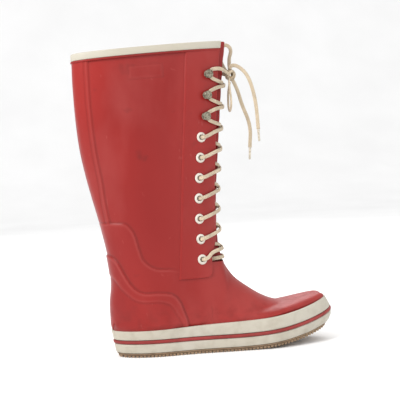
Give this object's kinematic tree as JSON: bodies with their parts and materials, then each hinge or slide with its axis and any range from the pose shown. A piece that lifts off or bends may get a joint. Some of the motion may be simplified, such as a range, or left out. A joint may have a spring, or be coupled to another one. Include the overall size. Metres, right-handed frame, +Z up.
{
  "type": "rubber rain boot",
  "caption": "Tall lace-up rubber rain boot with a laced front slit, loose tongue, speed hooks, banded sole wall, ribbed outsole and a hollow textile-lined leg.",
  "frame": {"origin": "on the floor under the axis of the leg, on the flat bottom of a tread rib", "axes": "+Z up the leg, +X to the toe, -Y to the outer (lateral) side of the foot"},
  "size_m": [0.321, 0.0995, 0.3878],
  "materials": {
    "clear_plastic": "clear lace end",
    "red_rubber": "satin, slightly bloomed",
    "cotton": "flat woven lace",
    "white_paint": "gloss",
    "lining_textile": "knitted cotton",
    "white_rubber": "matte, off-white",
    "dark_red_rubber": "matte",
    "nickel": "antique nickel",
    "board": "pressed fibre board",
    "gum_rubber": "matte"
  },
  "bodies": {
    "boot": {"aglet_lower": "clear_plastic", "aglet_upper": "clear_plastic", "ankle_overlay": "red_rubber", "back_stay": "red_rubber", "blank_patch": "red_rubber", "bow_knot": "cotton", "eyelet_lateral_1": "white_paint", "eyelet_lateral_2": "white_paint", "eyelet_lateral_3": "white_paint", "eyelet_lateral_4": "white_paint", "eyelet_lateral_5": "white_paint", "eyelet_lateral_6": "white_paint", "eyelet_lateral_7": "white_paint", "eyelet_medial_1": "white_paint", "eyelet_medial_2": "white_paint", "eyelet_medial_3": "white_paint", "eyelet_medial_4": "white_paint", "eyelet_medial_5": "white_paint", "eyelet_medial_6": "white_paint", "eyelet_medial_7": "white_paint", "facing_lateral": "red_rubber", "facing_medial": "red_rubber", "footbed": "lining_textile", "foxing_lower_band": "white_rubber", "foxing_stripe": "dark_red_rubber", "foxing_upper_band": "white_rubber", "heel_counter": "red_rubber", "hook_lateral_1": "nickel", "hook_lateral_2": "nickel", "hook_lateral_3": "nickel", "hook_medial_1": "nickel", "hook_medial_2": "nickel", "hook_medial_3": "nickel", "insole_board": "board", "lace": "cotton", "lace_loop_lateral": "cotton", "lace_loop_medial": "cotton", "lace_tail_lower": "cotton", "lace_tail_upper": "cotton", "leg_lateral": "red_rubber", "leg_medial": "red_rubber", "lining_lateral": "lining_textile", "lining_medial": "lining_textile", "lining_vamp": "lining_textile", "midsole_filler": "gum_rubber", "outsole": "gum_rubber", "piping": "dark_red_rubber", "rim_binding": "white_rubber", "vamp": "red_rubber"},
    "tongue": {"tongue": "dark_red_rubber"}
  },
  "joints": [
    {"name": "tongue_flex", "type": "hinge", "parent": "boot", "child": "tongue", "pos_m": [0.069, 0, 0.105], "axis": [0, 1, 0], "range_deg": [-8, 0], "stiffness_Nm_per_rad": 0.05}
  ]
}
